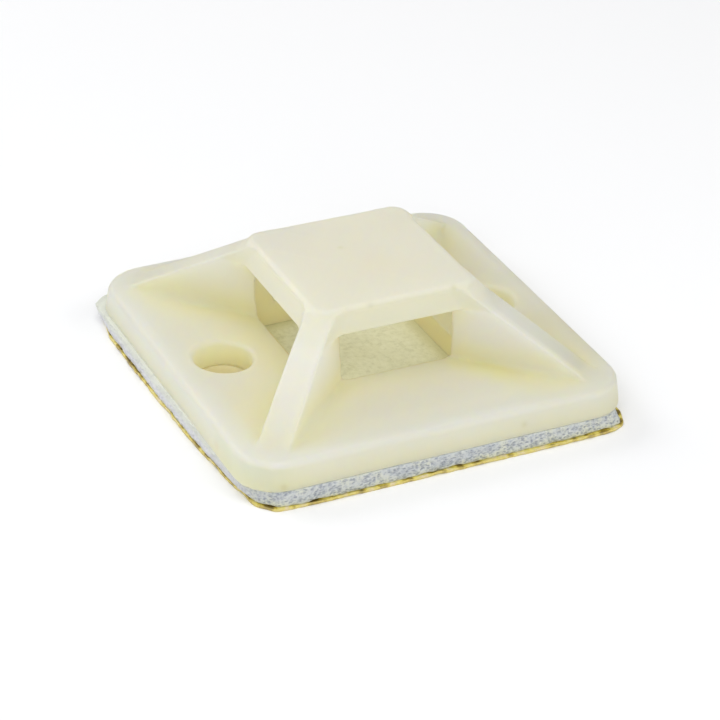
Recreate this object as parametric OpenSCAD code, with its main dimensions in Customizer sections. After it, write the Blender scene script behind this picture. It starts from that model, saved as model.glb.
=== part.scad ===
// Self-adhesive four-way cable tie mount.
// A moulded nylon body stands on a square of foam tape, whose release liner is
// still on. A tie passes under the square bridge in either direction, and the
// body can also be screwed down through its two plain holes.
// Millimetres. Z = 0 is the underside of the liner, and the Z axis runs up
// through the middle of the bridge. The screw holes lie on the X axis.

/* [Base] */
// Side of the square base
base_side = 28; // [27:0.5:34]
// Thickness of the base at its rim
base_t = 2.05; // [1.8:0.05:3]
// Radius of the base's upright corners
base_corner_r = 3; // [2:0.1:4]
// Radius of the soft edge that runs round the top of the rim
rim_r = 0.8; // [0.4:0.1:1.2]
// How far each side wall leans in between its foot and the rim
wall_draft = 0.1; // [0.05:0.05:0.3]
// Depth of the shallow dish in the top, from the rim down to the well
dish = 0.3; // [0.1:0.05:0.5]

/* [Bridge] */
// Side of the bridge's flat top
bridge_side = 12; // [11:0.5:13]
// Height of the bridge's top above the body's underside
bridge_h = 7.5; // [7.3:0.1:10]
// Thickness of the bridge
bridge_t = 1.65; // [1.2:0.05:1.9]
// How far each side of the bridge flares out between its top and its underside
bridge_flare = 0.6; // [0.2:0.1:0.8]
// Radius of the bridge's upright corners
bridge_corner_r = 1.1; // [0.8:0.1:1.5]
// Radius of the edge round the bridge's top
bridge_edge_r = 0.35; // [0.2:0.05:0.4]

/* [Ribs] */
// Thickness of the four ribs that carry the bridge
rib_t = 2.1; // [1.6:0.1:2.6]
// Distance along the diagonal from the middle to the foot of each rib
rib_reach = 16.9; // [15.5:0.1:17.1]
// Depth below the bridge's top at which each rib's sloping top meets the bridge's corner
rib_drop = 0.55; // [0.5:0.05:0.8]

/* [Holes] */
// Side of the square well through the base, under the bridge
well_side = 11.2; // [10.6:0.1:11.6]
// Diameter of the two screw holes
screw_d = 4.2; // [3.2:0.1:4.4]
// Distance between the screw holes' middles
screw_pitch = 20; // [19:0.1:20.4]
// Width of the bevel at each screw hole's mouth
screw_bevel = 0.25; // [0.1:0.05:0.4]

/* [Tape] */
// Thickness of the foam pad
foam_t = 1.0; // [0.8:0.1:1.6]
// Side of the foam pad
foam_side = 28.2; // [27:0.1:35]
// Thickness of the release liner
liner_t = 0.2; // [0.1:0.05:0.4]
// Side of the release liner, which stands a little proud of the foam
liner_side = 28.8; // [27.2:0.1:36]
// Radius of the foam pad's corners
foam_corner_r = 2.8; // [1.5:0.1:4]
// Radius of the liner's corners
liner_corner_r = 2.5; // [1.5:0.1:4]

/* [Hidden] */
$fn = 64;
eps = 0.01;
z_foam = liner_t;                       // underside of the foam
z_base = liner_t + foam_t;              // underside of the body
z_rim = z_base + base_t;                // top of the rim
z_top = z_base + bridge_h;              // top of the bridge
z_under = z_top - bridge_t;             // underside of the bridge
r_rim = base_corner_r - wall_draft;     // the rim's corner radius, as seen from above
well = well_side / 2;
screw = screw_d / 2;
crest = base_side / 2 - wall_draft - rim_r;   // where the rim's soft edge ends
rib_top = z_top - rib_drop;
// Diagonal distance from the middle to the outside of the bridge's corner
bridge_diag = (bridge_side / 2 - bridge_corner_r) * sqrt(2) + bridge_corner_r;
// Fall of a rib's top for each millimetre outwards
rib_fall = (rib_top - (z_rim - dish / 2)) / (rib_reach - bridge_diag);
// Where the rib's top line meets a given height, along the diagonal
function rib_s(z) = bridge_diag + (rib_top - z) / rib_fall;

// A slab with rounded upright corners. Its edge profile is the child, drawn in
// (outwards, up) with 0 at the corner's axis, and it runs once round the slab.
module profiled_slab(half, r, z0, z1) {
    c = half - r;
    for (a = [0:90:270]) rotate([0, 0, a]) {
        translate([c, c, 0]) rotate_extrude(angle = 90) children();
        translate([c, c, 0]) rotate([90, 0, 0]) linear_extrude(height = 2 * c) children();
    }
    translate([-c, -c, z0]) cube([2 * c, 2 * c, z1 - z0]);
}

// Edge of the base: a wall that leans in a little, with a quarter round on top
module base_profile() {
    r = r_rim;
    difference() {
        polygon([[0, z_base], [base_corner_r, z_base], [r, z_rim - rim_r], [r, z_rim], [0, z_rim]]);
        difference() {
            translate([r - rim_r, z_rim - rim_r]) square([rim_r + eps, rim_r + eps]);
            translate([r - rim_r, z_rim - rim_r]) circle(r = rim_r);
        }
    }
}

// Edge of the bridge: a band that flares out downwards, with a small round on top
module bridge_profile() {
    r = bridge_corner_r;
    e = bridge_edge_r;
    difference() {
        polygon([[0, z_under], [r + bridge_flare, z_under], [r, z_top - e], [r, z_top], [0, z_top]]);
        difference() {
            translate([r - e, z_top - e]) square([e + eps, e + eps]);
            translate([r - e, z_top - e]) circle(r = e);
        }
    }
}

// The hollow of the dish: it falls evenly from the rim's crest to the well on all four sides
module dish_wedge() {
    translate([0, base_side, 0]) rotate([90, 0, 0]) linear_extrude(height = 2 * base_side)
        polygon([
            [-well, z_rim - dish], [well, z_rim - dish],
            [crest, z_rim], [crest, z_rim + 1], [-crest, z_rim + 1], [-crest, z_rim]
        ]);
}

module base_plate() {
    difference() {
        profiled_slab(base_side / 2, base_corner_r, z_base, z_rim) base_profile();
        intersection() {
            dish_wedge();
            rotate([0, 0, 90]) dish_wedge();
        }
    }
}

module bridge() {
    profiled_slab(bridge_side / 2, bridge_corner_r, z_under, z_top) bridge_profile();
}

// One upright rib on the diagonal towards +X +Y. Its top falls in a straight
// line from the bridge's corner to the base, and it stops inside both of them.
module rib() {
    z_foot = z_base + base_t / 2;
    z_head = z_top - 0.1;
    rotate([0, 0, 45]) translate([0, rib_t / 2, 0]) rotate([90, 0, 0]) linear_extrude(height = rib_t)
        polygon([
            [0, z_foot], [rib_s(z_foot), z_foot],
            [rib_s(z_head), z_head],
            [rib_s(z_head) - 1, z_under + bridge_t / 2], [0, z_under + bridge_t / 2]
        ]);
}

module screw_hole() {
    cylinder(r = screw, h = z_rim + 1);
    z_mouth = z_rim - dish * (crest - screw_pitch / 2) / (crest - well);
    translate([0, 0, z_mouth - screw_bevel])
        cylinder(r1 = screw, r2 = screw + 3 * screw_bevel, h = 3 * screw_bevel);
}

module mount_body() {
    color([0.93, 0.92, 0.82])
    difference() {
        union() {
            base_plate();
            bridge();
            for (a = [0:90:270]) rotate([0, 0, a]) rib();
        }
        translate([-well, -well, 0]) cube([2 * well, 2 * well, z_under]);
        for (s = [-1, 1]) translate([s * screw_pitch / 2, 0, 0]) screw_hole();
    }
}

module rounded_square(side, r) {
    c = side / 2 - r;
    square([side, 2 * c], center = true);
    square([2 * c, side], center = true);
    for (x = [-c, c], y = [-c, c]) translate([x, y]) circle(r = r);
}

module foam_pad() {
    color([0.80, 0.84, 0.86])
    translate([0, 0, z_foam]) linear_extrude(height = foam_t) rounded_square(foam_side, foam_corner_r);
}

module release_liner() {
    color([0.85, 0.72, 0.30])
    linear_extrude(height = liner_t) rounded_square(liner_side, liner_corner_r);
}

mount_body();
foam_pad();
release_liner();
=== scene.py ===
import math
import bpy
import numpy as np
from mathutils import Matrix, Vector
from mathutils.geometry import delaunay_2d_cdt


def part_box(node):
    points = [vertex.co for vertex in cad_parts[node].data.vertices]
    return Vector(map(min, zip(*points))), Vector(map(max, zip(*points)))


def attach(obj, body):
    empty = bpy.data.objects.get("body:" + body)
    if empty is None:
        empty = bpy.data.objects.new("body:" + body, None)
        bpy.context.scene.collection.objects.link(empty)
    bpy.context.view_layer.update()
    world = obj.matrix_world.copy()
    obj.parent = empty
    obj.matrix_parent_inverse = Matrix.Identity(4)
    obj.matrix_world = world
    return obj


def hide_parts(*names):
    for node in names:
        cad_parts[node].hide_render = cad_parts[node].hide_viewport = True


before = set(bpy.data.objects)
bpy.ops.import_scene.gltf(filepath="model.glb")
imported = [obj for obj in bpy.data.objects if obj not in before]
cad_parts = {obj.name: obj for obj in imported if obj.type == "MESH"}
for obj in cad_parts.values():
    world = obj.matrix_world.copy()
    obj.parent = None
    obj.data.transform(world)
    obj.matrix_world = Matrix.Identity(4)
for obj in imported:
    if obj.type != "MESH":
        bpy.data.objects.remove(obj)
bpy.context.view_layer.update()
MM = 0.001

# ----------------------------------------------------------------- sizes (mm), from the frame
lo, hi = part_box("mount_body")
HALF = (hi[0] - lo[0]) / 2 * 1000          # half the base's side
ZB, ZT = lo[2] * 1000, hi[2] * 1000        # underside of the body, top of the bridge
flo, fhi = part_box("foam_pad")
ZF = flo[2] * 1000                         # underside of the foam
ZR = ZB + 2.05                             # top of the rim
ZU = ZT - 1.65                             # underside of the bridge
WELL = 5.6
RIB = 1.05
DIAG = (6.0 - 1.1) * math.sqrt(2) + 1.1
REACH = 16.9
DROP = 0.55
FALL = ((ZT - DROP) - (ZR - 0.15)) / (REACH - DIAG)
COSA = 1 / math.sqrt(1 + FALL * FALL)
CREST = 13.1
DISH = 0.3


# ----------------------------------------------------------------- numpy helpers
def smooth(t):
    t = np.clip(t, 0, 1)
    return t * t * (3 - 2 * t)


def hash3(i, j, k, seed):
    """A repeatable number in 0..1 for each lattice point."""
    n = (i.astype(np.int64) * 73856093) ^ (j.astype(np.int64) * 19349663) ^ (k.astype(np.int64) * 83492791) ^ (seed * 2654435761)
    n = (n ^ (n >> 13)) * 1274126177 & 0xFFFFFFFF
    n = (n ^ (n >> 16)) * 2246822519 & 0xFFFFFFFF
    n = n ^ (n >> 15)
    return (n & 0xFFFFFF) / float(0xFFFFFF)


def noise3(x, y, z, seed=0):
    """Smooth value noise, -1..1, one cell per unit."""
    x, y, z = np.broadcast_arrays(x, y, z)
    i, j, k = np.floor(x), np.floor(y), np.floor(z)
    u, v, w = x - i, y - j, z - k
    u, v, w = (t * t * t * (t * (t * 6 - 15) + 10) for t in (u, v, w))
    i, j, k = i.astype(np.int64), j.astype(np.int64), k.astype(np.int64)
    out = 0.0
    for a in (0, 1):
        for b in (0, 1):
            for c in (0, 1):
                out = out + hash3(i + a, j + b, k + c, seed) * (u if a else 1 - u) * (v if b else 1 - v) * (w if c else 1 - w)
    return out * 2 - 1


def fbm(x, y, z, octaves=3, seed=0):
    out, amp, tot = 0.0, 1.0, 0.0
    for o in range(octaves):
        out = out + amp * noise3(x * 2 ** o, y * 2 ** o, z * 2 ** o, seed + 17 * o)
        tot += amp
        amp *= 0.5
    return out / tot


def rsq(x, y, half, r):
    """Distance to a square with rounded corners."""
    qx, qy = np.abs(x) - (half - r), np.abs(y) - (half - r)
    return np.hypot(np.maximum(qx, 0), np.maximum(qy, 0)) + np.minimum(np.maximum(qx, qy), 0) - r


def r_and(a, b, r):
    return np.minimum(-r, np.maximum(a, b)) + np.hypot(np.maximum(r + a, 0), np.maximum(r + b, 0))


def r_or(a, b, r):
    return np.maximum(r, np.minimum(a, b)) - np.hypot(np.maximum(r - a, 0), np.maximum(r - b, 0))


# ----------------------------------------------------------------- the moulded body as a distance field
def top_height(x, y):
    """Height of the base's top: a soft rim, then a shallow dish that falls to the well."""
    ax, ay = np.abs(x), np.abs(y)
    m = (ax ** 8 + ay ** 8 + 1e-6) ** 0.125
    t = (CREST + 0.25 - m) / (CREST + 0.25 - WELL)
    t = np.clip(t, -0.2, 1.15)
    t = 0.5 * (t + np.sqrt(t * t + 0.012)) - 0.02
    return ZR - DISH * t - 0.13 * smooth((m - 12.9) / 1.1)


def body_sdf(x, y, z):
    ax, ay = np.abs(x), np.abs(y)
    t = np.clip((z - ZB) / (ZR - ZB), 0, 1)
    side = rsq(x, y, HALF - 0.12 * t, 2.85 + 0.35 * t)
    slab = r_and(side, z - top_height(x, y), 0.4)
    slab = r_and(slab, ZB - z, 0.06)
    # ribs
    s, q = (ax + ay) / math.sqrt(2), (ax - ay) / math.sqrt(2)
    line = (ZT - DROP) - FALL * (s - DIAG)
    left = 0.5 - 0.5 * np.tanh(x / 1.5)
    draft = np.where(q < 0, -0.025 + 0.09 * left, -0.025) * np.clip(7 - z, 0, 5)
    rib = r_and(np.abs(q) - RIB - draft, (z - line) * COSA, 0.14)
    rib = np.maximum(rib, ZB + 0.4 - z)
    rib = np.maximum(rib, z - (ZT - 0.45))
    rib = np.maximum(rib, s - (REACH + 0.35))
    low = r_or(slab, rib, 0.35 + 0.35 * smooth((s - 8.5) / 4.0) - 0.5 * smooth((s - 14.4) / 1.6))
    well = np.maximum(rsq(x * WELL / (WELL + 0.12 * smooth((z - ZR) / 1.4)), y, WELL, 0.3), z - ZU)
    low = r_and(low, -well, 0.02 + 0.08 * smooth((z - 1.7) / 0.7))
    # bridge
    f = np.clip((ZT - 0.35 - z) / (ZT - 0.35 - ZU), 0, 1.3) * 0.6
    top = ZT - 0.02 * smooth(1 - np.hypot(x, y) / 5.5)
    bridge = r_and(rsq(x, y, 6.0 + f, 1.1 + f) * 0.908, z - top, 0.35)
    bridge = r_and(bridge, ZU - z, 0.12)
    d = r_or(low, bridge, 0.55)
    # screw holes, with a soft mouth
    hole = np.hypot(ax - 10.0, y) - 2.0
    d = r_and(d, -hole, 0.02 + 0.33 * smooth((z - 1.7) / 0.8))
    # the slight unevenness of a moulding that has shrunk
    d = d + 0.010 * np.sin(0.61 * x + 1.3) * np.sin(0.53 * y + 0.4) * np.sin(0.7 * z + 0.2)
    return d


def gradient(f, p, e=0.01):
    g = np.empty_like(p)
    for a in range(3):
        q0, q1 = p.copy(), p.copy()
        q0[:, a] -= e
        q1[:, a] += e
        g[:, a] = f(*q1.T) - f(*q0.T)
    return g / (2 * e)


def surface_net(f, low, high, h):
    """A closed quad mesh of f = 0, with its points drawn onto the surface."""
    n = [int(math.ceil((b - a) / h)) + 1 for a, b in zip(low, high)]
    ax = [low[i] + h * np.arange(n[i]) for i in range(3)]
    F = np.empty(n, np.float32)
    Y, Z = np.meshgrid(ax[1], ax[2], indexing="ij")
    step = 24
    for i in range(0, n[0], step):
        X = ax[0][i:i + step][:, None, None]
        F[i:i + step] = f(X, Y[None], Z[None])
    inside = F < 0
    c = np.zeros([k - 1 for k in n], np.int8)
    for a in (0, 1):
        for b in (0, 1):
            for d in (0, 1):
                c += inside[a:n[0] - 1 + a, b:n[1] - 1 + b, d:n[2] - 1 + d]
    active = np.argwhere((c > 0) & (c < 8))
    index = -np.ones(c.shape, np.int64)
    index[tuple(active.T)] = np.arange(len(active))
    corners = np.array([[a, b, d] for a in (0, 1) for b in (0, 1) for d in (0, 1)])
    V = np.stack([F[tuple((active + k).T)] for k in corners], 1)
    acc, cnt = np.zeros((len(active), 3)), np.zeros(len(active))
    for u in range(8):
        for v in range(u + 1, 8):
            if np.abs(corners[u] - corners[v]).sum() != 1:
                continue
            cross = (V[:, u] < 0) != (V[:, v] < 0)
            t = np.where(cross, V[:, u] / (V[:, u] - V[:, v] + 1e-20), 0)
            acc += np.where(cross[:, None], corners[u] + t[:, None] * (corners[v] - corners[u]), 0)
            cnt += cross
    P = (active + acc / cnt[:, None]) * h + np.array(low)
    P0 = P.copy()
    for _ in range(4):
        g = gradient(f, P)
        P = P - (f(*P.T) / np.maximum((g * g).sum(1), 0.2))[:, None] * g
    move = P - P0
    far = np.linalg.norm(move, axis=1)
    P = P0 + move * np.minimum(1, 0.9 * h / np.maximum(far, 1e-9))[:, None]
    quads = []
    for a in range(3):
        b, d = (a + 1) % 3, (a + 2) % 3
        sl0, sl1 = [slice(None)] * 3, [slice(None)] * 3
        sl0[a], sl1[a] = slice(0, -1), slice(1, None)
        s0, s1 = inside[tuple(sl0)], inside[tuple(sl1)]
        e = np.argwhere(s0 != s1)
        e = e[(e[:, b] > 0) & (e[:, d] > 0) & (e[:, b] < n[b] - 1) & (e[:, d] < n[d] - 1)]
        q = []
        for ob, od in ((-1, -1), (0, -1), (0, 0), (-1, 0)):
            k = e.copy()
            k[:, b] += ob
            k[:, d] += od
            q.append(index[tuple(k.T)])
        q = np.stack(q, 1)
        flip = ~s0[tuple(e.T)]
        q[flip] = q[flip][:, ::-1]
        quads.append(q)
    return P, np.concatenate(quads)


def new_mesh(name, verts, faces, normals=None, floats=None):
    """verts in mm. faces is an array of quads, or a list."""
    me = bpy.data.meshes.new(name)
    verts = np.asarray(verts, float) * MM
    if isinstance(faces, np.ndarray):
        k = faces.shape[1]
        me.vertices.add(len(verts))
        me.vertices.foreach_set("co", verts.astype(np.float32).ravel())
        me.loops.add(faces.size)
        me.loops.foreach_set("vertex_index", faces.astype(np.int32).ravel())
        me.polygons.add(len(faces))
        me.polygons.foreach_set("loop_start", np.arange(0, faces.size, k, dtype=np.int32))
        me.update(calc_edges=True)
    else:
        me.from_pydata([tuple(v) for v in verts], [], [tuple(int(i) for i in f) for f in faces])
        me.update()
    me.validate()
    me.polygons.foreach_set("use_smooth", np.ones(len(me.polygons), bool))
    for key, val in (floats or {}).items():
        val = np.asarray(val, np.float32)
        if val.ndim == 2:
            at = me.attributes.new(key, "FLOAT_COLOR", "POINT")
            at.data.foreach_set("color", np.hstack([val, np.ones((len(val), 1), np.float32)]).ravel())
        else:
            at = me.attributes.new(key, "FLOAT", "POINT")
            at.data.foreach_set("value", val)
    if normals is not None:
        me.normals_split_custom_set_from_vertices([tuple(v) for v in normals])
    ob = bpy.data.objects.new(name, me)
    bpy.context.scene.collection.objects.link(ob)
    return ob


def build_body():
    h = 0.14
    P, Q = surface_net(body_sdf, (-HALF - 0.37, -HALF - 0.37, ZB - 0.33), (HALF + 0.37, HALF + 0.37, ZT + 0.3), h)
    P[:, 2] = np.clip(P[:, 2], ZB, ZT)
    P[P[:, 2] < ZB + 0.03, 2] = ZB
    P[:, :2] = np.clip(P[:, :2], -HALF, HALF)
    # the hidden flat underside: its inner quads are merged into large ones
    flat = P[:, 2] < ZB + 1e-3
    bottom = flat[Q].all(1)
    keep = Q[~bottom]
    edge = {}
    for a, b in ((0, 1), (1, 2), (2, 3), (3, 0)):
        for u, v in zip(keep[:, a], keep[:, b]):
            if flat[u] and flat[v]:
                edge[(u, v)] = edge.get((u, v), 0) + 1
    rim = [(u, v) for (u, v) in edge if (v, u) not in edge]
    ids = sorted({u for e in rim for u in e})
    at = {u: i for i, u in enumerate(ids)}
    out = delaunay_2d_cdt([Vector(P[u, :2]) for u in ids], [(at[u], at[v]) for u, v in rim], [], 0, 1e-7)
    tri = []
    pts = np.array([list(v) for v in out[0]])
    for f in out[2]:
        c = pts[list(f)].mean(0)
        if body_sdf(c[0], c[1], ZB + 0.15) < 0.02:
            tri.append(f)
    orig = out[3]
    extra = []
    m = {}
    for i, o in enumerate(orig):
        if len(o):
            m[i] = ids[o[0]]
        else:
            m[i] = len(P) + len(extra)
            extra.append([pts[i][0], pts[i][1], ZB])
    if extra:
        P = np.vstack([P, extra])
    T = np.array([[m[i] for i in f] for f in tri])
    a, b, c = P[T[:, 0]], P[T[:, 1]], P[T[:, 2]]
    up = np.cross(b - a, c - a)[:, 2] > 0
    T[up] = T[up][:, ::-1]
    faces = [list(q) for q in keep] + [list(t) for t in T]
    used = np.unique(np.concatenate([keep.ravel(), T.ravel()]))
    remap = -np.ones(len(P), np.int64)
    remap[used] = np.arange(len(used))
    P = P[used]
    faces = [[int(remap[i]) for i in f] for f in faces]
    N = gradient(body_sdf, P)
    N /= np.maximum(np.linalg.norm(N, axis=1), 1e-9)[:, None]
    # how enclosed each point is, and how far in under the bridge; the material paints enclosed places darker and
    # yellower (painted shade)
    occ = np.zeros(len(P))
    for d, w in ((0.4, 0.16), (0.8, 0.18), (1.6, 0.22), (3.0, 0.24), (5.0, 0.20)):
        q = P + N * d
        out = np.maximum(np.abs(q[:, 0]), np.abs(q[:, 1])) > HALF - 0.3
        dist = np.minimum(body_sdf(*q.T), np.maximum(q[:, 2] - np.where(out, 0, ZB), 0))
        occ += w * np.clip((d - dist) / d, 0, 1)
    quads = remap[keep]
    a = np.concatenate([quads[:, 0], quads[:, 1], quads[:, 2], quads[:, 3]])
    b = np.concatenate([quads[:, 1], quads[:, 2], quads[:, 3], quads[:, 0]])
    deg = np.maximum(np.bincount(a, minlength=len(P)) + np.bincount(b, minlength=len(P)), 1)
    for _ in range(40):
        occ = 0.5 * occ + 0.5 * (np.bincount(a, occ[b], len(P)) + np.bincount(b, occ[a], len(P))) / deg
    m = np.maximum(np.abs(P[:, 0]), np.abs(P[:, 1]))
    # tint: painted light and shade in the colour, region by region (a whiter rim, warmer bridge sides and right-hand
    # plate, and more below), then small marks
    tint = np.ones((len(P), 3))

    def toward(colour, amount):
        tint[:] *= 1 + (np.array(colour) - 1) * np.clip(amount, 0, 1)[:, None]
    # painted light: the outer band of the base whiter and cooler, for light through the thin rim
    toward((1.0, 1.005, 1.05), smooth((m - 11.5) / 2.0))
    # painted shade: the bridge's sides warmer and darker
    toward((0.975, 0.975, 0.935), smooth((P[:, 2] - 6.9) / 0.2) * smooth((m - 5.9) / 0.2) * smooth((0.6 - N[:, 2]) / 0.3))
    # painted shade: the right-hand plate warmer and darker, in the shadow of the bridge
    toward((0.985, 0.97, 0.92), smooth((P[:, 0] - 5.5) / 3) * smooth((N[:, 2] - 0.6) / 0.3) * smooth((4.5 - P[:, 2]) / 1.0))
    wall = smooth((m - 11) / 1.0) * smooth((3.2 - P[:, 2]) / 0.4) * smooth((0.7 - N[:, 2]) / 0.4)
    # painted shade: the front wall darker and greyer
    toward((0.93, 0.93, 0.91), wall * smooth(-N[:, 1]))
    # painted light: the left wall cooler
    toward((0.955, 1.0, 1.08), wall * smooth(-N[:, 0]))
    x, y, z = P[:, 0], P[:, 1], P[:, 2]
    flat = smooth((N[:, 2] - 0.6) / 0.3)
    plate = flat * smooth((4.2 - z) / 0.8)
    # painted light: the front plate lighter
    toward((1.085, 1.075, 1.04), plate * smooth((-y - 4.6) / 0.6) * smooth((8.5 - np.abs(x + 1)) / 2.5) * smooth((12.8 + y) / 1.5))
    # painted light: the back of the right-hand plate lighter and cooler
    toward((1.07, 1.07, 1.09), plate * smooth((x - 11.5) / 2) * smooth((y - 2) / 2))
    # painted shade: the front of the right-hand plate darker and yellower
    toward((0.975, 0.95, 0.86), plate * smooth((x - 5.2) / 1.5) * smooth((-y - 2) / 2) * smooth((y + 11.5) / 2.5))
    s, q = (x - y) / math.sqrt(2), (x + y) / math.sqrt(2)
    # painted shade and glow: the foot of the front-right rib's front face warmer and yellower
    root = smooth((s - 6.8) / 2.5) * smooth((13.2 - s) / 4) * smooth((-q - 0.9) / 0.3) * smooth((4.0 + q) / 2.6) * smooth((5.4 - z) / 2.0)
    toward((1.0, 0.95, 0.80), root * smooth((12.9 - m) / 1.0))
    # painted shade: the front-left plate a little warmer and darker
    toward((1.0, 0.965, 0.92), plate * smooth((-x - 7.5) / 2) * smooth((-y - 3) / 2) * smooth((12.5 - m) / 1.0))
    # painted shade: the faces turned to the front, high on the bridge, darker
    toward((0.93, 0.93, 0.90), smooth((z - 6.9) / 0.3) * smooth((-N[:, 1] - 0.5) / 0.3))
    # painted shading: the back-left of the bridge's top cooler and a little darker
    toward((0.95, 0.955, 1.0), flat * smooth((z - 8.2) / 0.3) * smooth((y - x - 4) / 5))
    # painted highlight: a bright line along the front edge of the front-right rib
    toward((1.05, 1.05, 1.09), smooth(1 - np.abs(q + 0.95) / 0.3) * smooth((s - 8.0) / 1.0) * smooth((z - 3.3) / 0.4) * smooth((7.2 - z) / 0.4))
    # painted shade: the tops of the ribs on the right greyer and darker
    toward((0.85, 0.86, 0.87), flat * smooth((q + 0.6) / 0.3) * smooth((z - 3.4) / 0.4) * smooth((8.0 - z) / 0.4) * smooth((x - 6) / 1.0))
    # painted shade: the walls at the front-left corner warmer and darker
    toward((0.95, 0.95, 0.83), wall * smooth((-x - 9) / 3) * smooth((-y - 7) / 3))
    # painted highlight: a bright line along the rim's crest at the front-left
    toward((1.05, 1.05, 1.06), smooth(1 - np.abs(m - 13.45) / 0.22) * smooth((z - 2.6) / 0.2) * smooth((-y - x - 2) / 4))
    # small marks: specks, a pip on the bridge's front edge, scuffs on the left wall
    for at, r, colour in (((-0.66, 1.66, 8.7), 0.2, (0.84, 0.86, 0.74)), ((-4.6, 2.35, 8.7), 0.3, (1.03, 1.03, 1.0)),
                          ((-2.03, -6.0, 8.55), 0.2, (0.82, 0.84, 0.84)), ((4.1, -6.0, 8.6), 0.2, (0.80, 0.82, 0.70)),
                          ((5.59, -13.95, 2.07), 0.2, (0.84, 0.82, 0.72)), ((-11.68, -13.95, 1.57), 0.2, (0.78, 0.74, 0.60)),
                          ((-13.9, -8.31, 1.92), 0.35, (0.97, 0.88, 0.86)), ((-13.6, -10.72, 2.15), 0.25, (0.95, 0.84, 0.80)),
                          ((0.69, -1.16, 8.7), 1.3, (1.0, 0.985, 0.94)), ((-4.9, 4.0, 8.7), 1.2, (1.0, 0.99, 1.0))):
        toward(colour, np.exp(-((P - np.array(at)) ** 2).sum(1) / (r * r)))
    # painted light: low surfaces in under the bridge, more strongly towards the front, which the material lightens
    under = smooth((12.8 - m) / 6.0) * smooth((ZU + 0.3 - P[:, 2]) / 0.6) * (0.45 + 0.55 * smooth((-P[:, 1] - 1) / 4))
    # the walls round the well, which the material paints with a yellow glow
    inner = smooth((5.85 - m) / 0.2) * smooth((ZU + 0.1 - P[:, 2]) / 0.1)
    inner = inner * (1 - plate)
    return new_mesh("nylon_body", P, faces, N, {"recess": occ, "under": under, "inner": inner, "height": (P[:, 2] - ZB) / (ZT - ZB), "tint": tint})


# ----------------------------------------------------------------- the tape: outlines, foam pad, release liner
FOAM_LOW = [(-14.0, 12.7), (-14.24, 10.2), (-14.26, 4.5), (-14.2, 0), (-14.08, -4.5), (-13.88, -8.5), (-13.6, -11.6),
            (-13.15, -13.2), (-12.1, -14.08), (-10.5, -14.26), (-6, -14.24), (0, -14.18), (6, -14.2), (10.4, -14.16),
            (12.4, -14.06), (13.3, -13.75), (13.6, -12.5), (13.85, -10.6), (14.1, -5), (14.1, 0), (14.1, 6), (14.08, 11.0),
            (13.7, 13.0), (12.8, 13.8), (11.0, 14.1), (5, 14.1), (0, 14.1), (-6, 14.1), (-11.2, 14.08), (-13.2, 13.9)]
FOAM_TOP = [(-14.3, 13.15), (-14.26, 10.2), (-14.14, 4.5), (-14.1, 0), (-14.0, -4.5), (-13.85, -8.5), (-13.58, -11.4),
            (-13.05, -12.9), (-12.1, -13.82), (-10.5, -14.05), (-6, -14.06), (0, -14.02), (6, -14.02), (10.2, -14.0),
            (12.1, -13.84), (12.85, -13.3), (13.3, -12.2), (13.68, -10.6), (13.98, -5), (14.0, 0), (14.0, 6), (13.98, 11.0),
            (13.6, 12.9), (12.7, 13.7), (11.0, 14.0), (5, 14.0), (0, 14.0), (-6, 14.0), (-11.4, 14.0), (-13.3, 14.0)]
LINER = [(-13.95, 12.0), (-14.36, 9.9), (-14.4, 6.0), (-14.3, 0), (-14.17, -4.5), (-13.92, -8.5), (-13.58, -11.5),
         (-13.32, -13.1), (-12.35, -14.25), (-10.5, -14.4), (-6, -14.4), (0, -14.4), (6, -14.4), (10.4, -14.4),
         (12.4, -14.28), (13.4, -13.8), (13.95, -12.5), (14.2, -10.6), (14.3, -5), (14.3, 0), (14.3, 6), (14.2, 11.2),
         (13.8, 13.2), (12.9, 14.0), (11.0, 14.25), (5, 14.3), (0, 14.3), (-6, 14.3), (-11.0, 14.2), (-13.0, 13.6)]


def closed_rows(rows, n, soft):
    """Resample closed outlines together at n places and round them slightly. rows: list of point lists."""
    base = np.array(rows[0] + rows[0][:1], float)
    cum = np.concatenate([[0], np.cumsum(np.hypot(*np.diff(base, axis=0).T))])
    s = np.arange(n) / n * cum[-1]
    kern = np.fft.rfftfreq(n, cum[-1] / n)
    out = []
    for r in rows:
        p = np.array(r + r[:1], float)
        q = np.stack([np.interp(s, cum, p[:, k]) for k in (0, 1)], 1)
        q = np.fft.irfft(np.fft.rfft(q, axis=0) * np.exp(-2 * (math.pi * kern * soft) ** 2)[:, None], n, axis=0)
        out.append(q)
    return out, s


def outward(p):
    t = np.roll(p, -1, 0) - np.roll(p, 1, 0)
    t /= np.linalg.norm(t, axis=1)[:, None]
    return np.stack([t[:, 1], -t[:, 0]], 1)


def cells(u, v, cu, cv, seed, wrap=None):
    """Nearest of the scattered cell points: distance in cell units, and that cell's random number."""
    i0, j0 = np.floor(u / cu), np.floor(v / cv)
    best = np.full(np.broadcast(u, v).shape, 9.0)
    rnd = np.zeros_like(best)
    for a in (-1, 0, 1):
        for b in (-1, 0, 1):
            i, j = i0 + a, j0 + b
            iw = np.mod(i, wrap) if wrap else i
            k = np.zeros_like(i)
            px = (i + 0.15 + 0.7 * hash3(iw, j, k, seed)) * cu
            py = (j + 0.15 + 0.7 * hash3(iw, j, k + 1, seed)) * cv
            r = hash3(iw, j, k + 2, seed)
            d = np.hypot((u - px) / cu, (v - py) / cv)
            rnd = np.where(d < best, r, rnd)
            best = np.minimum(best, d)
    return best, rnd


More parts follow.
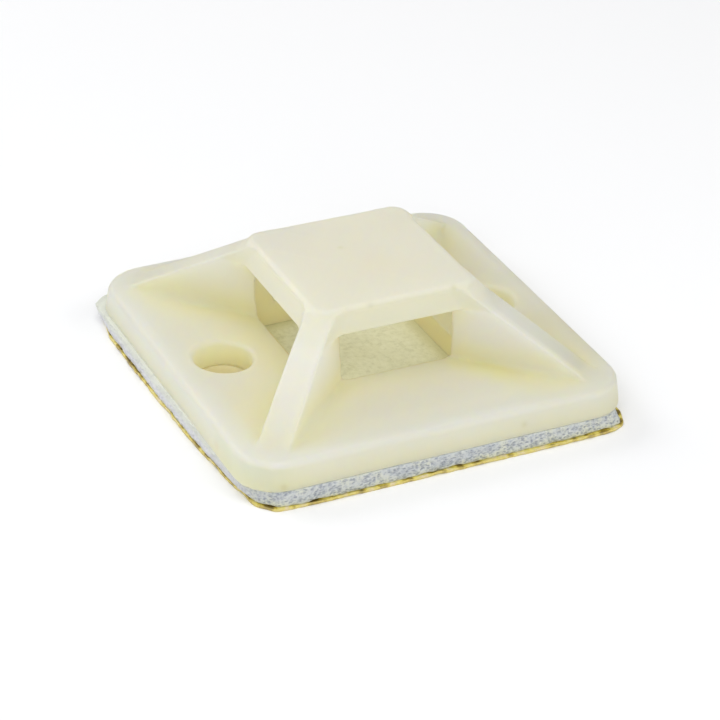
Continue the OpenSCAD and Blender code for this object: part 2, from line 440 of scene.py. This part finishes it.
def fill(loop_xy, inner_xy, keep):
    """Triangles over a loop with given inner points. Returns points, triangles, and each loop point's index."""
    n = len(loop_xy)
    pts = [Vector(p) for p in loop_xy] + [Vector(p) for p in inner_xy]
    out = delaunay_2d_cdt(pts, [(i, (i + 1) % n) for i in range(n)], [], 0, 1e-7)
    xy = np.array([list(v) for v in out[0]])
    tri = np.array([f for f in out[2] if len(f) == 3])
    c = xy[tri].mean(1)
    tri = tri[keep(c[:, 0], c[:, 1])]
    a, b, d = xy[tri[:, 0]], xy[tri[:, 1]], xy[tri[:, 2]]
    area2 = (b[:, 0] - a[:, 0]) * (d[:, 1] - a[:, 1]) - (b[:, 1] - a[:, 1]) * (d[:, 0] - a[:, 0])
    tri = tri[np.abs(area2) > 1e-9]
    flip = area2[np.abs(area2) > 1e-9] < 0
    tri[flip] = tri[flip][:, ::-1]
    return xy, tri, out[3]


def grid_points(lo, hi, step, test):
    g = np.arange(lo, hi, step)
    X, Y = np.meshgrid(g, g, indexing="ij")
    X, Y = X.ravel(), Y.ravel()
    m = test(X, Y)
    return np.stack([X[m], Y[m]], 1)


def inside_loop(loop):
    P, Q = loop, np.roll(loop, -1, 0)

    def test(x, y):
        odd = np.zeros(x.shape, bool)
        for (x0, y0), (x1, y1) in zip(P[::4], np.roll(P[::4], -1, 0)):
            hit = (y0 > y) != (y1 > y)
            if y0 != y1:
                odd ^= hit & (x < (x1 - x0) * (y - y0) / (y1 - y0) + x0)
        return odd
    return test


def cap(verts, ring, zfun, up, spots, floats_len):
    """Close a ring of vertex indices with a filled face. spots: inner points."""
    loop = verts[ring][:, :2]
    test = inside_loop(loop)
    m = test(spots[:, 0], spots[:, 1])
    spots = spots[m]
    near = np.full(len(spots), 9.0)
    for k in range(0, len(loop), 6):
        near = np.minimum(near, np.hypot(*(spots - loop[k]).T))
    spots = spots[near > 0.25]
    xy, tri, orig = fill(loop, spots, test)
    m = np.empty(len(xy), np.int64)
    extra = []
    for i, o in enumerate(orig):
        small = [k for k in o if k < len(ring)]
        if small:
            m[i] = ring[small[0]]
        else:
            m[i] = len(verts) + len(extra)
            extra.append((xy[i][0], xy[i][1], 0.0))
    extra = np.array(extra).reshape(-1, 3)
    if len(extra):
        extra[:, 2] = zfun(extra[:, 0], extra[:, 1])
    tri = m[tri]
    if not up:
        tri = tri[:, ::-1]
    return np.vstack([verts, extra]), tri


def build_foam():
    n, rows = 2160, 19
    (low, top), s = closed_rows([FOAM_LOW, FOAM_TOP], n, 0.16)
    nrm = outward(low)
    t = np.linspace(0, 1, rows)
    t = t + 0.04 * np.sin(2 * math.pi * t) * 0
    S, T = np.meshgrid(s, t, indexing="ij")
    lift = 0.13 * np.clip(noise3(s * 0.9, 0 * s, 0 * s + 3.1, 5) - 0.1, 0, 1)
    z0 = ZF + lift[:, None] * (1 - T) ** 2
    Z = z0 + (ZB - 0.012 - z0) * T
    xy = low[:, None, :] * (1 - T)[..., None] + top[:, None, :] * T[..., None]
    # pores: two sizes of scattered pits, wider than tall
    L = s[-1] + s[1]
    d1, r1 = cells(S, Z, L / 310, 0.12, 11, 310)
    d2, r2 = cells(S, Z, L / 560, 0.08, 12, 560)
    p1 = smooth((0.42 - d1) / 0.22) * (r1 > 0.52)
    p2 = smooth((0.44 - d2) / 0.26) * (r2 > 0.62)
    wob = 0.035 * noise3(S * 1.1, Z * 1.5, 0 * S, 3) + 0.02 * noise3(S * 4.0, Z * 5.0, 0 * S, 4)
    end = smooth(T / 0.08) * smooth((1 - T) / 0.08)
    push = wob - (0.07 * p1 + 0.04 * p2) * end - 0.05 * (1 - end)
    xy = xy + nrm[:, None, :] * push[..., None]
    V = np.concatenate([xy, Z[..., None]], 2).reshape(-1, 3)
    pore = np.clip(p1 * end + 0.7 * p2 * end, 0, 1).ravel()
    i, j = np.meshgrid(np.arange(n), np.arange(rows - 1), indexing="ij")
    i1 = (i + 1) % n
    Q = np.stack([i * rows + j, i1 * rows + j, i1 * rows + j + 1, i * rows + j + 1], -1).reshape(-1, 4)
    # tacky top, fine where the body's openings show it, and a plain underside
    fine = grid_points(-5.9, 5.9, 0.12, lambda x, y: (np.abs(x) < 5.85) & (np.abs(y) < 5.85))
    holes = grid_points(-12.5, 12.5, 0.12, lambda x, y: np.hypot(np.abs(x) - 10, y) < 2.35)
    coarse = grid_points(-13.3, 13.3, 1.1, lambda x, y: (np.maximum(np.abs(x), np.abs(y)) > 6.4) & (np.hypot(np.abs(x) - 10, y) > 2.7))
    ring_top = np.arange(n) * rows + rows - 1
    ring_low = np.arange(n) * rows

    def top_z(x, y):
        well = smooth((5.5 - np.maximum(np.abs(x), np.abs(y))) / 0.9)
        hole = smooth((1.98 - np.hypot(np.abs(x) - 10, y)) / 0.2)
        rough = 0.025 * noise3(x * 1.3, y * 1.3, 0 * x, 7) + 0.015 * noise3(x * 3.7, y * 3.7, 0 * x, 8)
        return ZB - 0.012 - np.maximum(well, hole) * (0.035 + rough) - hole * 0.66
    V, A = cap(V, ring_top, top_z, True, np.vstack([fine, holes, coarse]), None)
    V, B = cap(V, ring_low, lambda x, y: 0 * x + ZF, False, grid_points(-13, 13, 2.0, lambda x, y: x < 99), None)
    pore = np.concatenate([pore, np.zeros(len(V) - len(pore))])
    # in and round the screw holes, where the material paints the tape dark yellow (painted shade)
    hole = smooth((2.6 - np.hypot(np.abs(V[:, 0]) - 10, V[:, 1])) / 0.3)
    film = smooth((13.3 - np.maximum(np.abs(V[:, 0]), np.abs(V[:, 1]))) / 0.3)
    # the foam's left side, which the material paints paler (painted light)
    pale = smooth((-V[:, 0] + 0.12 * V[:, 1] - 11.2) / 1.6)
    m = np.maximum(np.abs(V[:, 0]), np.abs(V[:, 1]))
    # next to the well's walls, where the material paints the tacky top darker (painted shade)
    wall = smooth((m - 4.5) / 1.0) * (m < 6)
    height = (V[:, 2] - ZF) / (ZB - ZF)
    faces = [list(q) for q in Q] + [list(q) for q in A] + [list(q) for q in B]
    return new_mesh("foam_tape", V, faces, None, {"pore": pore, "hole": hole, "film": film, "pale": pale, "wall": wall, "height": height})


def build_liner():
    n = 1440
    (out,), s = closed_rows([LINER], n, 0.2)
    nrm = outward(out)
    edge = 0.035 * noise3(s * 0.8, 0 * s, 0 * s, 21) + 0.03 * noise3(s * 2.3, 0 * s, 0 * s, 22)
    out = out + nrm * np.minimum(edge, 0.02)[:, None]
    curl = np.clip(noise3(s * 0.55, 0 * s, 0 * s, 23) * 0.6 + 0.5 * noise3(s * 1.7, 0 * s, 0 * s, 24), -0.2, 0.8)
    rows = [(0.42, 0.0, 0.0), (0.26, 0.0, 0.0), (0.14, 0.0, 0.01), (0.06, 0.0, 0.05), (0.0, 0.0, 0.10), (-0.005, 0.5, 0.13),
            (0.0, 1.0, 0.13), (0.05, 1.0, 0.09), (0.12, 1.0, 0.04), (0.2, 1.0, 0.0), (0.3, 1.0, -0.02), (0.44, 1.0, 0.0)]
    V, E = [], []
    for inset, level, rise in rows:
        p = out - nrm * inset
        ripple = 0.5 + 0.5 * noise3(s * 5.0, 0 * s + inset * 4, 0 * s, 25)
        z = ZF * level * (0.82 if level else 0) + np.clip(curl, 0, 1) * rise * 1.5 + (0.03 * ripple * level)
        if inset > 0.4:
            z = 0 * s + ZF * level
        V.append(np.stack([p[:, 0], p[:, 1], z], 1))
        E.append(np.full(n, 1.0 if 0 < level < 1 or inset <= 0.0 else 0.0))
    k = len(rows)
    V = np.stack(V, 1).reshape(-1, 3)
    E = np.stack(E, 1).ravel()
    i, j = np.meshgrid(np.arange(n), np.arange(k - 1), indexing="ij")
    i1 = (i + 1) % n
    Q = np.stack([i * k + j, i1 * k + j, i1 * k + j + 1, i * k + j + 1], -1).reshape(-1, 4)
    V[:, :2] = np.clip(V[:, :2], -14.4, 14.4)
    V[:, 2] = np.clip(V[:, 2], 0, 9)
    spots = grid_points(-13, 13, 2.0, lambda x, y: x < 99)
    V, A = cap(V, np.arange(n) * k + k - 1, lambda x, y: 0 * x + ZF, True, spots, None)
    V, B = cap(V, np.arange(n) * k, lambda x, y: 0 * x, False, spots, None)
    E = np.concatenate([E, np.zeros(len(V) - len(E))])
    faces = [list(q) for q in Q] + [list(q) for q in A] + [list(q) for q in B]
    return new_mesh("liner_sheet", V, faces, None, {"cut": E})


# ----------------------------------------------------------------- materials
def material(name):
    m = bpy.data.materials.new(name)
    m.use_nodes = True
    nt = m.node_tree
    nt.nodes.clear()
    out = nt.nodes.new("ShaderNodeOutputMaterial")
    p = nt.nodes.new("ShaderNodeBsdfPrincipled")
    nt.links.new(p.outputs[0], out.inputs[0])
    return m, nt, p


def node(nt, kind, links=(), **values):
    n = nt.nodes.new(kind)
    for k, v in values.items():
        if k in n.inputs:
            n.inputs[k].default_value = v
        else:
            setattr(n, k, v)
    for k, v in dict(links).items():
        nt.links.new(v, n.inputs[k])
    return n


def ramp(nt, fac, stops):
    n = nt.nodes.new("ShaderNodeValToRGB")
    nt.links.new(fac, n.inputs[0])
    while len(n.color_ramp.elements) > 1:
        n.color_ramp.elements.remove(n.color_ramp.elements[-1])
    n.color_ramp.elements[0].position = stops[0][0]
    n.color_ramp.elements[0].color = (*stops[0][1], 1)
    for pos, col in stops[1:]:
        e = n.color_ramp.elements.new(pos)
        e.color = (*col, 1)
    return n


def mix(nt, fac, a, b, mode="MIX"):
    n = nt.nodes.new("ShaderNodeMix")
    n.data_type = "RGBA"
    n.blend_type = mode
    for sock, v in ((n.inputs[0], fac), (n.inputs[6], a), (n.inputs[7], b)):
        if isinstance(v, (int, float)):
            sock.default_value = v
        elif isinstance(v, tuple):
            sock.default_value = (*v, 1)
        else:
            nt.links.new(v, sock)
    return n.outputs[2]


def nylon():
    m, nt, p = material("natural_nylon_look")
    tc = node(nt, "ShaderNodeTexCoord")
    rec = node(nt, "ShaderNodeAttribute", attribute_name="recess")
    # painted shade: the more enclosed a point, the darker and yellower its colour, for shade and light bounced in
    # recesses
    col = ramp(nt, rec.outputs["Fac"], [
        (0.0, (0.885, 0.895, 0.86)), (0.1, (0.925, 0.922, 0.815)), (0.3, (0.96, 0.925, 0.71)), (0.5, (0.965, 0.90, 0.61)), (0.8, (0.95, 0.87, 0.55))])
    big = node(nt, "ShaderNodeTexNoise", [("Vector", tc.outputs["Object"])], Scale=130.0, Detail=3.0)
    tint = ramp(nt, big.outputs["Fac"], [(0.35, (0.985, 0.98, 0.965)), (0.65, (1.0, 1.0, 1.0))])
    c = mix(nt, 1.0, col.outputs[0], tint.outputs[0], "MULTIPLY")
    # painted light and shade, region by region, and small marks, from the body's tint colours
    own = node(nt, "ShaderNodeAttribute", attribute_name="tint")
    c = mix(nt, 1.0, c, own.outputs["Color"], "MULTIPLY")
    # painted light: surfaces under the bridge lightened and cooled, more towards the front
    und = node(nt, "ShaderNodeAttribute", attribute_name="under")
    lift = ramp(nt, und.outputs["Fac"], [(0.0, (1.0, 1.0, 1.0)), (1.0, (1.07, 1.08, 1.16))])
    c = mix(nt, 1.0, c, lift.outputs[0], "MULTIPLY")
    # painted light and shade: the walls round the well are coloured a yellow glow, darker towards the tape
    inn = node(nt, "ShaderNodeAttribute", attribute_name="inner")
    hgt = node(nt, "ShaderNodeAttribute", attribute_name="height")
    wall = ramp(nt, hgt.outputs["Fac"], [
        (0.0, (0.90, 0.84, 0.56)), (0.1, (0.94, 0.86, 0.54)), (0.22, (0.97, 0.90, 0.61)), (0.45, (0.98, 0.90, 0.69)), (0.78, (0.97, 0.90, 0.76))])
    c = mix(nt, inn.outputs["Fac"], c, wall.outputs[0])
    nt.links.new(c, p.inputs["Base Color"])
    p.inputs["Subsurface Weight"].default_value = 1.0
    p.inputs["Subsurface Radius"].default_value = (1.0, 0.85, 0.5)
    p.inputs["Subsurface Scale"].default_value = 0.0012
    p.inputs["IOR"].default_value = 1.5
    fine = node(nt, "ShaderNodeTexNoise", [("Vector", tc.outputs["Object"])], Scale=2600.0, Detail=2.0)
    mid = node(nt, "ShaderNodeTexNoise", [("Vector", tc.outputs["Object"])], Scale=420.0, Detail=3.0)
    rough = ramp(nt, mid.outputs["Fac"], [(0.3, (0.33, 0.33, 0.33)), (0.7, (0.42, 0.42, 0.42))])
    nt.links.new(rough.outputs[0], p.inputs["Roughness"])
    b1 = node(nt, "ShaderNodeBump", [("Height", fine.outputs["Fac"])], Strength=0.12, Distance=0.00004)
    b2 = node(nt, "ShaderNodeBump", [("Height", mid.outputs["Fac"]), ("Normal", b1.outputs[0])], Strength=0.15, Distance=0.0001)
    nt.links.new(b2.outputs[0], p.inputs["Normal"])
    # milky plastic lets light through: it comes out of shaded walls again
    # the colour of that light is painted yellower in recesses and round the well, for light bounced inside
    glow = ramp(nt, rec.outputs["Fac"], [
        (0.0, (0.945, 0.95, 0.905)), (0.15, (0.985, 0.98, 0.87)), (0.4, (1.0, 0.98, 0.79)), (0.8, (1.0, 0.95, 0.66))])
    glow = mix(nt, inn.outputs["Fac"], glow.outputs[0], (1.0, 0.94, 0.66))
    t = node(nt, "ShaderNodeBsdfTranslucent", [("Color", glow)])
    ms = nt.nodes.new("ShaderNodeMixShader")
    ms.inputs[0].default_value = 0.5
    nt.links.new(p.outputs[0], ms.inputs[1])
    nt.links.new(t.outputs[0], ms.inputs[2])
    out = [n for n in nt.nodes if n.type == "OUTPUT_MATERIAL"][0]
    nt.links.new(ms.outputs[0], out.inputs[0])
    return m


def foam_look():
    m, nt, p = material("tape_foam_look")
    tc = node(nt, "ShaderNodeTexCoord")
    pore = node(nt, "ShaderNodeAttribute", attribute_name="pore")
    big = node(nt, "ShaderNodeTexNoise", [("Vector", tc.outputs["Object"])], Scale=900.0, Detail=2.0)
    fine = node(nt, "ShaderNodeTexNoise", [("Vector", tc.outputs["Object"])], Scale=5200.0, Detail=3.0)
    base = ramp(nt, big.outputs["Fac"], [(0.30, (0.54, 0.565, 0.57)), (0.5, (0.60, 0.62, 0.60)), (0.72, (0.65, 0.66, 0.55))])
    spot = ramp(nt, fine.outputs["Fac"], [(0.34, (0.80, 0.82, 0.86)), (0.5, (1, 1, 1)), (0.7, (1.06, 1.05, 1.02))])
    c = mix(nt, 1.0, base.outputs[0], spot.outputs[0], "MULTIPLY")
    # painted shade: the pits coloured dark, on top of their real depth
    c = mix(nt, pore.outputs["Fac"], c, (0.34, 0.365, 0.41))
    hgt = node(nt, "ShaderNodeAttribute", attribute_name="height")
    low = ramp(nt, hgt.outputs["Fac"], [(0.0, (1.02, 1.0, 0.80)), (0.3, (1.0, 1.0, 0.95)), (0.5, (1.0, 1.0, 1.0))])
    c = mix(nt, 1.0, c, low.outputs[0], "MULTIPLY")
    # painted light: the foam's left side drawn paler, lilac low down and yellowish higher up, for the light falling
    # on it
    pale = node(nt, "ShaderNodeAttribute", attribute_name="pale")
    paler_side_ramp = ramp(nt, hgt.outputs["Fac"], [(0.0, (0.68, 0.67, 0.72)), (0.4, (0.74, 0.74, 0.77)), (0.6, (0.74, 0.755, 0.68)), (1.0, (0.76, 0.775, 0.66))])
    paler_lit_side = mix(nt, 0.8, c, paler_side_ramp.outputs[0])
    c = mix(nt, pale.outputs["Fac"], c, paler_lit_side)
    # height: the top is a tacky yellowish film, the bottom has some glue on it
    sep = node(nt, "ShaderNodeSeparateXYZ", [("Vector", tc.outputs["Object"])])
    geo = node(nt, "ShaderNodeNewGeometry")
    nz = node(nt, "ShaderNodeSeparateXYZ", [("Vector", geo.outputs["Normal"])])
    up = ramp(nt, nz.outputs["Z"], [(0.6, (0, 0, 0)), (0.9, (1, 1, 1))])
    mid = node(nt, "ShaderNodeTexNoise", [("Vector", tc.outputs["Object"])], Scale=3000.0, Detail=2.0)
    film = ramp(nt, mid.outputs["Fac"], [(0.32, (0.77, 0.78, 0.60)), (0.45, (0.84, 0.85, 0.67)), (0.6, (0.87, 0.88, 0.70)), (0.8, (0.91, 0.92, 0.76))])
    in_hole = node(nt, "ShaderNodeAttribute", attribute_name="hole")
    # painted shade: the tacky top darker and yellower next to the well's walls
    by_wall = node(nt, "ShaderNodeAttribute", attribute_name="wall")
    by_wall = mix(nt, 1.0, by_wall.outputs["Color"], (0.75, 0.75, 0.75), "MULTIPLY")
    film = mix(nt, by_wall, film.outputs[0], (0.72, 0.71, 0.47))
    # painted shade: the tape down the screw holes dark yellow, like the shaded nylon walls there
    film = mix(nt, in_hole.outputs["Fac"], film, (0.84, 0.76, 0.48))
    on = node(nt, "ShaderNodeAttribute", attribute_name="film")
    on = mix(nt, 1.0, on.outputs["Color"], up.outputs[0], "MULTIPLY")
    c = mix(nt, on, c, film)
    # painted shade: the same dark yellow over the whole tape in the screw holes
    c = mix(nt, in_hole.outputs["Fac"], c, (0.80, 0.73, 0.45))
    nt.links.new(c, p.inputs["Base Color"])
    p.inputs["Roughness"].default_value = 0.82
    p.inputs["Subsurface Weight"].default_value = 0.35
    p.inputs["Subsurface Radius"].default_value = (1.0, 1.0, 0.9)
    p.inputs["Subsurface Scale"].default_value = 0.0003
    b = node(nt, "ShaderNodeBump", [("Height", fine.outputs["Fac"])], Strength=0.5, Distance=0.00008)
    nt.links.new(b.outputs[0], p.inputs["Normal"])
    return m


def liner_look():
    m, nt, p = material("liner_paper_look")
    tc = node(nt, "ShaderNodeTexCoord")
    cut = node(nt, "ShaderNodeAttribute", attribute_name="cut")
    a = node(nt, "ShaderNodeTexNoise", [("Vector", tc.outputs["Object"])], Scale=1300.0, Detail=4.0)
    f = node(nt, "ShaderNodeTexNoise", [("Vector", tc.outputs["Object"])], Scale=4200.0, Detail=3.0)
    # the paper's own uneven tone, whose dark brown lows are painted shade and pale highs painted highlights
    base = ramp(nt, a.outputs["Fac"], [(0.36, (0.17, 0.12, 0.02)), (0.44, (0.48, 0.36, 0.05)), (0.5, (0.78, 0.66, 0.14)), (0.57, (0.80, 0.72, 0.24)), (0.66, (0.84, 0.72, 0.50))])
    grain = ramp(nt, f.outputs["Fac"], [(0.35, (0.86, 0.85, 0.80)), (0.6, (1, 1, 1))])
    c = mix(nt, 1.0, base.outputs[0], grain.outputs[0], "MULTIPLY")
    c = mix(nt, mix(nt, 1.0, cut.outputs["Color"], (0.45, 0.45, 0.45), "MULTIPLY"), c, (0.70, 0.56, 0.20))
    nt.links.new(c, p.inputs["Base Color"])
    p.inputs["Roughness"].default_value = 0.42
    b = node(nt, "ShaderNodeBump", [("Height", f.outputs["Fac"])], Strength=0.3, Distance=0.00004)
    nt.links.new(b.outputs[0], p.inputs["Normal"])
    return m


def simple(name, rgb, rough):
    m, nt, p = material(name)
    p.inputs["Base Color"].default_value = (*rgb, 1)
    p.inputs["Roughness"].default_value = rough
    return m


def put(obj, mat):
    obj.data.materials.clear()
    obj.data.materials.append(mat)


body = build_body()
put(body, nylon())
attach(body, "root")
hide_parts("mount_body")

foam = build_foam()
put(foam, foam_look())
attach(foam, "root")
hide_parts("foam_pad")

liner = build_liner()
put(liner, liner_look())
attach(liner, "root")
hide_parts("release_liner")

# ----------------------------------------------------------------- floor, light, camera
me = bpy.data.meshes.new("floor")
me.from_pydata([(-0.6, -0.6, 0), (0.6, -0.6, 0), (0.6, 0.6, 0), (-0.6, 0.6, 0)], [], [(0, 1, 2, 3)])
floor = bpy.data.objects.new("floor", me)
bpy.context.scene.collection.objects.link(floor)
put(floor, simple("floor_look", (0.95, 0.95, 0.95), 0.9))

world = bpy.data.worlds.new("world")
bpy.context.scene.world = world
world.use_nodes = True
world.node_tree.nodes["Background"].inputs[0].default_value = (1, 1, 1, 1)
world.node_tree.nodes["Background"].inputs[1].default_value = 0.232


def area(name, at, target, size, power, colour=(1, 1, 1)):
    d = bpy.data.lights.new(name, "AREA")
    d.shape = "SQUARE"
    d.size = size
    d.energy = power
    d.color = colour
    o = bpy.data.objects.new(name, d)
    bpy.context.scene.collection.objects.link(o)
    o.location = at
    o.rotation_euler = (Vector(target) - Vector(at)).to_track_quat("-Z", "Y").to_euler()
    return o


def from_side(name, azimuth, elevation, power, size=0.24, away=0.36, colour=(1, 1, 1)):
    a, e = math.radians(azimuth), math.radians(elevation)
    at = (math.sin(a) * math.cos(e) * away, -math.cos(a) * math.cos(e) * away, math.sin(e) * away)
    return area(name, at, (0, 0, 0.004), size, power, colour)


from_side("softbox_front", -26.8, 31, 0.345, colour=(0.97, 0.99, 1.05))
from_side("softbox_top", 0, 86, 0.405)
from_side("softbox_left_front", -60, 35, 0.20, colour=(0.97, 0.99, 1.05))
from_side("softbox_left_back", -145, 35, 0.50)
from_side("softbox_right_front", 50, 40, 0.365)
from_side("softbox_back", 180, 35, 0.044)

cam_data = bpy.data.cameras.new("camera")
cam = bpy.data.objects.new("camera", cam_data)
bpy.context.scene.collection.objects.link(cam)
az, el, roll = math.radians(-26.842), math.radians(31.063), math.radians(2.263)
back = Vector((math.sin(az) * math.cos(el), -math.cos(az) * math.cos(el), math.sin(el)))
right = (-back).cross(Vector((0, 0, 1))).normalized()
up = right.cross(-back)
r2 = right * math.cos(roll) + up * math.sin(roll)
u2 = -right * math.sin(roll) + up * math.cos(roll)
at = Vector((0.605, -1.238, 1.0)) * MM + back * 0.184821
cam.matrix_world = Matrix(((r2.x, u2.x, back.x, at.x), (r2.y, u2.y, back.y, at.y), (r2.z, u2.z, back.z, at.z), (0, 0, 0, 1)))
cam_data.sensor_width = 36
cam_data.lens = 2683.954 / 720 * 36
cam_data.shift_x = -(371.925 - 360) / 720
cam_data.shift_y = (361.05 - 360) / 720
cam_data.clip_start = 0.01
cam_data.clip_end = 10
bpy.context.scene.camera = cam
bpy.context.scene.view_settings.view_transform = "Standard"
